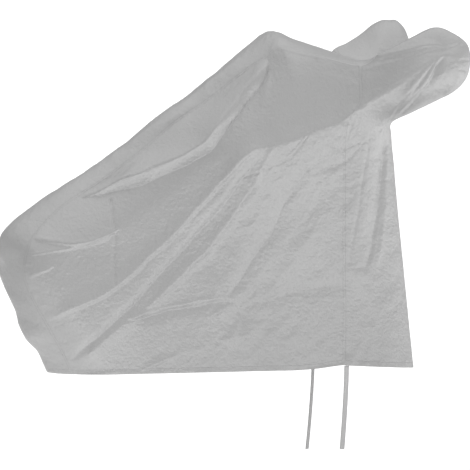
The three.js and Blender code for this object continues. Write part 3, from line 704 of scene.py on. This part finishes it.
def crumple(x, z, seed):
    bent_x = x + BEND * waves(x, z, BEND_SIZE, seed + 1)
    bent_z = z + BEND * waves(x, z, BEND_SIZE, seed + 2)
    height = 0
    for k, (size, high, lean) in enumerate(((48, 1.1, 0.9), (26, 0.7, 0.6), (15, 0.4, 1.3))):
        along = bent_x * math.cos(lean) + bent_z * math.sin(lean)
        across = bent_z * math.cos(lean) - bent_x * math.sin(lean)
        ridge = 1 - 2 * np.abs(waves(along / 1.8, across, size, seed + 3 + k))
        height = height + high * ridge
    return height


def crumpled(x, z):
    """How much of the crumple shows: most in the slack cloth low down, least where it is taut."""
    knee = -190 + (x - 100) * 0.45
    slack = 1 - smooth(z, knee - 140, knee + 20)
    return 0.18 + 0.5 * slack * smooth(x, -480, -150) + 0.25 * smooth(x, 120, 200) * slack


# %% [markdown]
# ## The sheets
# Side and front panel of one side are worked out together, and so are the strip and the middle
# panel, so that the cloth leans the same way on both sides of a flat seam.

# %% Fineness of the sheets
UP = np.linspace(0, 1, 201)
ALONG = np.linspace(0, 1, 241)
FORWARD = mix(np.linspace(0, 1, 61), np.sin(np.linspace(0, 1, 61) * math.pi / 2), 0.6)
ACROSS = np.linspace(-1, 1, 49)

FRONT_SEAM = np.array([[read(FRONT, column, i / 3) for column in ("sx", "sz")]
                       for i in range(FRONT_END * 3 + 1)])
HEM_WIDTH = 8
HEM_STEP = 0.6

# %% [markdown]
# A wall of cloth is worked out in layers. The plain wall comes first, with its kinks evened out
# away from the outline. The creases, the crumple and the front seam's puckers follow, and fade
# towards the outline, which has puckers of its own. The step of the turned hem comes last. The
# band in the middle, the strip and the middle panel in one, is moved along its own normals.

# %% Places of the walls and of the middle band
EVEN_FROM, EVEN_FULL, EVEN_TIMES = 15, 45, 40
SEAM_FADE = 12
GATHER = {"height": 0.9, "apart": 13, "reach": 16}
STRIP_CRUMPLE = 0.8


def outward(points):
    """Unit normals of a grid of places."""
    along = np.gradient(points, axis=0)
    up = np.gradient(points, axis=1)
    normal = np.cross(along, up)
    return normal / np.maximum(np.linalg.norm(normal, axis=-1, keepdims=True), 1e-9)


def relax(y, share, times):
    """Rounds the kinks of the plain wall, where share is above 0."""
    for _ in range(times):
        even = y.copy()
        even[1:-1, 1:-1] = (y[:-2, 1:-1] + y[2:, 1:-1] + y[1:-1, :-2] + y[1:-1, 2:]) / 4
        y = mix(y, even, share)
    return y


def gathers(line, x, z, seed):
    """Short puckers that the thread pulls into the cloth beside a seam."""
    distance, place, _ = nearest(line, x, z)
    length = np.concatenate(([0], np.hypot(*np.diff(line, axis=0).T).cumsum()))
    along = np.interp(place, np.arange(len(line)), length)
    fade = np.exp(-(distance / GATHER["reach"]) ** 2)
    return GATHER["height"] * waves(along, distance / 4, GATHER["apart"], seed) * fade


def hem_step(from_hem):
    """The turned hem is thicker, as far as it is folded up."""
    return HEM_STEP * (1 - smooth(from_hem, HEM_WIDTH - 2, HEM_WIDTH + 2))


def wall(side):
    u, v = np.meshgrid(ALONG, UP, indexing="ij")
    back_x, back_z = side_place(u, v)
    u, v = np.meshgrid(FORWARD[1:], UP, indexing="ij")
    front_x, front_z = front_place(u, v)
    x, z = np.concatenate((back_x, front_x)), np.concatenate((back_z, front_z))
    y, distance = wall_y(x, z, RIGHT_FOLDS if side < 0 else LEFT_FOLDS)
    y = relax(y, smooth(distance, EVEN_FROM, EVEN_FULL), EVEN_TIMES)
    fine = sum(crease_height(crease, x, z)
               for crease in (RIGHT_CREASES + TOP_CREASES if side < 0 else LEFT_CREASES))
    fine = fine + crumple(x, z, 11 - side) * crumpled(x, z)
    fine = fine + gathers(FRONT_SEAM, x, z, 50 - side)
    y = y + fine * np.minimum(distance / SEAM_FADE, 1) + gathers(OUTLINE[:, :2], x, z, 60 - side)
    y = y + hem_step(z - hem_z(x))
    points = left_sleeve(np.stack((x, side * y, z), axis=-1))
    return {"points": points, "normals": outward(points) * -side}


def band():
    rows = np.concatenate((UP * REAR_ROWS, mix(REAR_ROWS, V_ROW, ALONG)[1:],
                           mix(V_ROW, STRIP_END, FORWARD)[1:])) / STRIP_END
    s, t = np.meshgrid(rows, ACROSS, indexing="ij")
    v, t2 = np.meshgrid(UP[::-1][1:], ACROSS, indexing="ij")
    points = np.concatenate((strip_point(s, t), middle_point(t2, v)))
    normals = outward(points)
    step = np.linalg.norm(np.diff(points[:, len(ACROSS) // 2], axis=0), axis=-1)
    along = np.concatenate(([0], step.cumsum()))[:, None] + np.zeros(t.shape[1])
    step = np.linalg.norm(np.diff(points, axis=1), axis=-1)
    across = np.concatenate((np.zeros((len(points), 1)), step.cumsum(axis=1)), axis=1)
    fade = np.minimum(np.minimum(across, across[:, -1:] - across) / SEAM_FADE, 1)
    fine = crumple(along, across, 30) * STRIP_CRUMPLE * fade
    x, z = points[..., 0], points[..., 2]
    rolls = sum(crease_height(crease, x, z) for crease in TOP_CREASES)
    fine = fine + rolls * smooth(-ACROSS, 0, 0.5) * fade
    fine = fine + hem_step(np.minimum(along, along[-1] - along))
    points = points + normals * fine[..., None]
    return {"points": points, "normals": outward(points), "rows": len(rows)}


walls = {-1: wall(-1), 1: wall(1)}
middle = band()

# %% [markdown]
# Where two pieces are sewn, both edges must run along the very same line. The cloth sinks a
# little there, because the seam's allowance pulls it in, and the thread gathers it into puckers.

# %% Join the edges along each seam
SEAM_SINK = 0.92


def rim(part):
    last, top = part["points"].shape[0] - 1, len(UP) - 1
    return ([(0, j) for j in range(top + 1)] + [(i, top) for i in range(1, last + 1)]
            + [(last, j) for j in range(top - 1, -1, -1)])


def outer_face(part):
    return part["points"] + part["normals"] * CLOTH


outer = {side: outer_face(walls[side]) for side in walls}
outer[0] = outer_face(middle)
for side, edge in ((-1, 0), (1, -1)):
    for row, (i, j) in enumerate(rim(walls[side])):
        both = walls[side]["normals"][i, j] + middle["normals"][row, edge]
        both /= np.linalg.norm(both)
        place = middle["points"][row, edge] + both * CLOTH * SEAM_SINK
        outer[side][i, j] = place
        outer[0][row, edge] = place
print("seam places:", 2 * len(rim(walls[-1])))

# %% [markdown]
# A sheet starts as a flat grid, and each of its points moves to its place on the drape. Its cut
# size is the mean length of its grid lines each way. Stitches show 4 mm from a seam but 13 mm from
# the hem's edge, so a hem counts as 9 mm further off.

# %% Turn a grid of places into a sheet
SHEET_THICKNESS = 0.001
HEM_FURTHER = 0.009
CUTTING_ROOM = 0.002


def edge_places(points, hem):
    """For each point its place along the nearest edge, and its distance from that edge's seam."""
    step_u = np.linalg.norm(np.diff(points, axis=0), axis=-1)
    step_v = np.linalg.norm(np.diff(points, axis=1), axis=-1)
    u = np.concatenate((np.zeros((1, points.shape[1])), step_u.cumsum(axis=0))) / 1000
    v = np.concatenate((np.zeros((points.shape[0], 1)), step_v.cumsum(axis=1)), axis=1) / 1000
    away = {"first u": u, "last u": u[-1:] - u, "first v": v, "last v": v[:, -1:] - v}
    distance = np.stack([away[edge] - (HEM_FURTHER if edge == hem else 0) for edge in away])
    along = np.stack((v, v, u, u))
    closest = distance.argmin(axis=0)[None]
    return np.stack([np.take_along_axis(values, closest, 0)[0] for values in (along, distance)],
                    axis=-1)


def make_sheet(name, points, flip, hem):
    nu, nv = points.shape[0] - 1, points.shape[1] - 1
    bm = bmesh.new()
    bmesh.ops.create_grid(bm, x_segments=nu, y_segments=nv, size=0.5)
    uv = bm.loops.layers.uv.new("cloth")
    across = np.linalg.norm(np.diff(points, axis=0), axis=-1).mean(axis=1).cumsum() / 1000
    up = np.linalg.norm(np.diff(points, axis=1), axis=-1).mean(axis=0).cumsum() / 1000
    across, up = np.concatenate(([0], across)), np.concatenate(([0], up))
    edge_map = bm.loops.layers.uv.new("edge")
    sewn = edge_places(points, hem)
    places = {}
    for vert in bm.verts:
        i, j = round((vert.co.x + 0.5) * nu), round((vert.co.y + 0.5) * nv)
        places[vert.index] = (across[i], up[j]), sewn[i, j]
        vert.co = points[i, j] / 1000
    for face in bm.faces:
        for loop in face.loops:
            loop[uv].uv, loop[edge_map].uv = places[loop.vert.index]
    for edge in bm.edges:
        edge.smooth = not edge.is_boundary
    if flip:
        bmesh.ops.reverse_faces(bm, faces=bm.faces)
    area = sum(face.calc_area() for face in bm.faces)
    sheet = new_object(name, bm)
    thick = sheet.modifiers.new("thickness", "SOLIDIFY")
    thick.thickness = SHEET_THICKNESS
    thick.offset = -1
    return sheet, area, (float(across[-1]), float(up[-1]))


sheets = {}


def add_sheet(name, node, points, flip, hem):
    sheet, area, size = make_sheet(name, points, flip, hem)
    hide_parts(node)
    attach(sheet, "root")
    flat = [round(max(size[0], area / size[1]), 3), round(size[1], 3)]
    grow = max(1, area / (flat[0] * flat[1]))
    flat[0] = round(flat[0] * grow + CUTTING_ROOM, 3)
    sheets[name] = sheet
    print(name, "flat", flat, "area", round(area, 3))


seam = len(ALONG) - 1
for side, word in ((-1, "right"), (1, "left")):
    add_sheet(f"{word}_side_cloth", f"side_panel_{word}", outer[side][:seam + 1], side > 0,
              "first v")
    add_sheet(f"{word}_front_cloth", f"front_panel_{word}", outer[side][seam:], side > 0,
              "first v")
add_sheet("strip_cloth", "spine_strip", outer[0][:middle["rows"]], False, "first u")
add_sheet("middle_cloth", "front_middle", outer[0][middle["rows"] - 1:], False, "last u")

# %% [markdown]
# ## The finish
# The cloth is a thin plain weave with a grey coating that shines softly, more like dull metal than
# like cotton, so its shader is half metallic. Four things break up the flat colour: the threads,
# small crinkles in the coating, cloudy changes of tone, and rows of stitches beside the seams and
# above the hem. The patterns follow the cloth's own maps in metres, so they keep their true size.

# %% Small helpers for material nodes
def add_node(material, kind, settings=(), values=()):
    made = material.node_tree.nodes.new(kind)
    for name, value in dict(settings).items():
        setattr(made, name, value)
    for name, value in dict(values).items():
        made.inputs[name].default_value = value
    return made


def join(material, *pairs):
    for start, end in pairs:
        material.node_tree.links.new(start, end)


def maths(material, operation, first, second):
    made = add_node(material, "ShaderNodeMath", {"operation": operation})
    for socket, value in zip(made.inputs, (first, second)):
        if isinstance(value, (int, float)):
            socket.default_value = value
        else:
            join(material, (value, socket))
    return made.outputs[0]


def scaled(material, value, start, end, first, last, kind="LINEAR"):
    """Turns the range from start to end into the one from first to last."""
    made = add_node(material, "ShaderNodeMapRange", {"interpolation_type": kind},
                    {"From Min": start, "From Max": end, "To Min": first, "To Max": last})
    join(material, (value, made.inputs["Value"]))
    return made.outputs["Result"]


def grey(material, tone):
    made = add_node(material, "ShaderNodeCombineColor")
    join(material, *((tone, made.inputs[channel]) for channel in ("Red", "Green", "Blue")))
    return made.outputs[0]


def threads(material, vector, direction, spacing):
    """A wave across the cloth, one crest for each thread."""
    wave = add_node(material, "ShaderNodeTexWave", {"bands_direction": direction},
                    {"Scale": 0.314 / spacing})
    join(material, (vector, wave.inputs["Vector"]))
    return wave.outputs["Fac"]


def patches(material, vector, scale, detail):
    cloud = add_node(material, "ShaderNodeTexNoise", values={"Scale": scale, "Detail": detail})
    join(material, (vector, cloud.inputs["Vector"]))
    return cloud.outputs["Fac"]


# %% [markdown]
# A stitch is 2.6 mm long with a gap of 1.2 mm, on a line 4 mm from a seam, and the threads lie
# 0.6 mm apart. The edge map gives the place along the edge as u and the distance from it as v.

# %% Grey coated cloth
CLOTH_TONE = 0.565
CLOUD_TONE = 0.05
THREAD = 0.0006
STITCH_LINE, STITCH_STEP, STITCH_LENGTH, STITCH_HALF_WIDTH = 0.004, 0.0038, 0.0026, 0.0005
cloth = bpy.data.materials.new("grey coated cloth")
cloth.use_nodes = True
shader = cloth.node_tree.nodes["Principled BSDF"]
shader.inputs["Metallic"].default_value = 0.5
shader.inputs["Specular Tint"].default_value = (0.5, 0.5, 0.5, 1)
own = add_node(cloth, "ShaderNodeUVMap", {"uv_map": "cloth"}).outputs["UV"]
edge = add_node(cloth, "ShaderNodeUVMap", {"uv_map": "edge"}).outputs["UV"]
space = add_node(cloth, "ShaderNodeTexCoord").outputs["Object"]
weave = maths(cloth, "MULTIPLY", threads(cloth, own, "X", THREAD), threads(cloth, own, "Y", THREAD))
crinkle = maths(cloth, "ABSOLUTE", maths(cloth, "SUBTRACT", patches(cloth, space, 45, 2), 0.5), 0)
fine_crinkle = patches(cloth, space, 130, 2)
cloud = patches(cloth, space, 7, 3)
split = add_node(cloth, "ShaderNodeSeparateXYZ")
join(cloth, (edge, split.inputs[0]))
from_line = maths(cloth, "ABSOLUTE", maths(cloth, "SUBTRACT", split.outputs[1], STITCH_LINE), 0)
on_line = maths(cloth, "LESS_THAN", from_line, STITCH_HALF_WIDTH)
in_step = maths(cloth, "MODULO", split.outputs[0], STITCH_STEP)
in_stitch = maths(cloth, "LESS_THAN", in_step, STITCH_LENGTH)
stitch = maths(cloth, "MULTIPLY", on_line, in_stitch)
tone = maths(cloth, "ADD", maths(cloth, "MULTIPLY", cloud, CLOUD_TONE), CLOTH_TONE - CLOUD_TONE / 2)
tone = maths(cloth, "SUBTRACT", tone, maths(cloth, "MULTIPLY", stitch, 0.1))
shine = maths(cloth, "ADD", maths(cloth, "MULTIPLY", fine_crinkle, 0.08), 0.32)
relief = maths(cloth, "ADD", maths(cloth, "MULTIPLY", crinkle, -0.003),
               maths(cloth, "MULTIPLY", fine_crinkle, 0.0014))
relief = maths(cloth, "ADD", relief, maths(cloth, "MULTIPLY", weave, 0.00003))
relief = maths(cloth, "ADD", relief, maths(cloth, "MULTIPLY", stitch, 0.0003))
bump = add_node(cloth, "ShaderNodeBump", values={"Distance": 1, "Strength": 0.8})
join(cloth, (relief, bump.inputs["Height"]), (bump.outputs["Normal"], shader.inputs["Normal"]),
     (grey(cloth, tone), shader.inputs["Base Color"]), (shine, shader.inputs["Roughness"]))
for sheet in sheets.values():
    sheet.data.materials.append(cloth)
print("cloth nodes:", len(cloth.node_tree.nodes))

# %% [markdown]
# The tape is woven with ribs that run across it. Its edges are painted darker than its middle:
# this is painted shade, standing in for the shade along the edges of the tape.

# %% Grey woven tape
TAPE_TONE = 0.7
RIB = 0.0013
# Painted shade: how far from the middle the tape's edges start and finish darkening, and by how much.
EDGE_SHADE_FROM, EDGE_SHADE_FULL, EDGE_SHADE_DEPTH = 0.0035, 0.006, 0.12
tape = bpy.data.materials.new("grey woven tape")
tape.use_nodes = True
shader = tape.node_tree.nodes["Principled BSDF"]
shader.inputs["Metallic"].default_value = 0.25
shader.inputs["Roughness"].default_value = 0.6
own = add_node(tape, "ShaderNodeUVMap", {"uv_map": "cloth"}).outputs["UV"]
ribs = threads(tape, own, "Y", RIB)
split = add_node(tape, "ShaderNodeSeparateXYZ")
join(tape, (own, split.inputs[0]))
from_left_edge = maths(tape, "SUBTRACT", split.outputs[0], TIE_WIDTH / 2000)
from_middle = maths(tape, "ABSOLUTE", from_left_edge, 0)
# Painted shade: the tape's colour is made darker towards both edges.
painted_edge_shade = scaled(tape, from_middle, EDGE_SHADE_FROM, EDGE_SHADE_FULL, 0, EDGE_SHADE_DEPTH)
tone = maths(tape, "ADD", maths(tape, "MULTIPLY", ribs, 0.08), TAPE_TONE)
tone = maths(tape, "SUBTRACT", tone, painted_edge_shade)
bump = add_node(tape, "ShaderNodeBump", values={"Distance": 1, "Strength": 1})
join(tape, (maths(tape, "MULTIPLY", ribs, 0.0002), bump.inputs["Height"]),
     (bump.outputs["Normal"], shader.inputs["Normal"]),
     (grey(tape, tone), shader.inputs["Base Color"]))
for tie in ties.values():
    tie.data.materials.append(tape)
print("tape nodes:", len(tape.node_tree.nodes))

# %% [markdown]
# ## The studio
# The photograph has a white background without a floor line. A pale floor below the cover gives
# light from underneath, and glows a little itself so that it shows as white. The glow falls off
# towards the camera, beyond the rear and near the cover, or the folds would lose their shade. The
# dip near the cover is a painted shadow of the cover on the floor.

# %% Floor
FLOOR_Z = -1.2
FLOOR_GLOW = 0.71
# Centre of the painted shadow: the floor's glow dips in a soft circle round this place.
PAINTED_SHADOW_CENTRE = (0.6, -0.35, FLOOR_Z)
bm = bmesh.new()
bmesh.ops.create_grid(bm, x_segments=1, y_segments=1, size=60)
bmesh.ops.translate(bm, verts=bm.verts, vec=(0, 0, FLOOR_Z))
floor = new_object("floor", bm)
paint = bpy.data.materials.new("pale floor")
paint.use_nodes = True
shader = paint.node_tree.nodes["Principled BSDF"]
shader.inputs["Base Color"].default_value = (0.8, 0.8, 0.8, 1)
shader.inputs["Roughness"].default_value = 0.9
shader.inputs["Emission Color"].default_value = (1, 1, 1, 1)
space = add_node(paint, "ShaderNodeTexCoord").outputs["Object"]
split = add_node(paint, "ShaderNodeSeparateXYZ")
near = add_node(paint, "ShaderNodeVectorMath", {"operation": "DISTANCE"})
near.inputs[1].default_value = PAINTED_SHADOW_CENTRE
join(paint, (space, split.inputs[0]), (space, near.inputs[0]))
# The third factor, by distance from the centre under the cover, is a painted shadow on the floor.
lit = FLOOR_GLOW
for value, dark, bright, least in ((split.outputs["Y"], -4.5, -2, 0.1),
                                   (split.outputs["X"], -1.6, -0.2, 0.1),
                                   (near.outputs["Value"], 0.5, 1.2, 0),
                                   (split.outputs["X"], 0.4, 1.8, 0.87)):
    lit = maths(paint, "MULTIPLY", lit, scaled(paint, value, dark, bright, least, 1, "SMOOTHSTEP"))
join(paint, (lit, shader.inputs["Emission Strength"]))
floor.data.materials.append(paint)

# %% [markdown]
# The room's light is soft and comes from all around, as in a photo tent. It is a little stronger
# from low down, from the front end and from behind the cover, which came closest to the shades
# of the photograph.

# %% Light of the room
LOW_LIGHT, HIGH_LIGHT, HIGH_FROM = 0.62, 0.53, 0.25
world = bpy.data.worlds.new("studio")
world.use_nodes = True
bpy.context.scene.world = world
direction = add_node(world, "ShaderNodeTexCoord").outputs["Generated"]
split = add_node(world, "ShaderNodeSeparateXYZ")
join(world, (direction, split.inputs[0]))
ramp = add_node(world, "ShaderNodeValToRGB")
stops = ramp.color_ramp.elements
for place, value in ((0, LOW_LIGHT), (HIGH_FROM, HIGH_LIGHT), (1, HIGH_LIGHT)):
    stop = stops[0] if place == 0 else stops[1] if place == 1 else stops.new(place)
    stop.color = (value, value, value, 1)
from_front = scaled(world, split.outputs["X"], -0.9, 1, 0.8, 1.12)
from_behind = scaled(world, split.outputs["Y"], 0.1, 0.8, 1, 1.22)
strength = maths(world, "MULTIPLY", from_front, from_behind)
background = world.node_tree.nodes["Background"]
join(world, (split.outputs["Z"], ramp.inputs["Fac"]),
     (ramp.outputs["Color"], background.inputs["Color"]),
     (strength, background.inputs["Strength"]))
bpy.context.scene.view_settings.view_transform = "Standard"
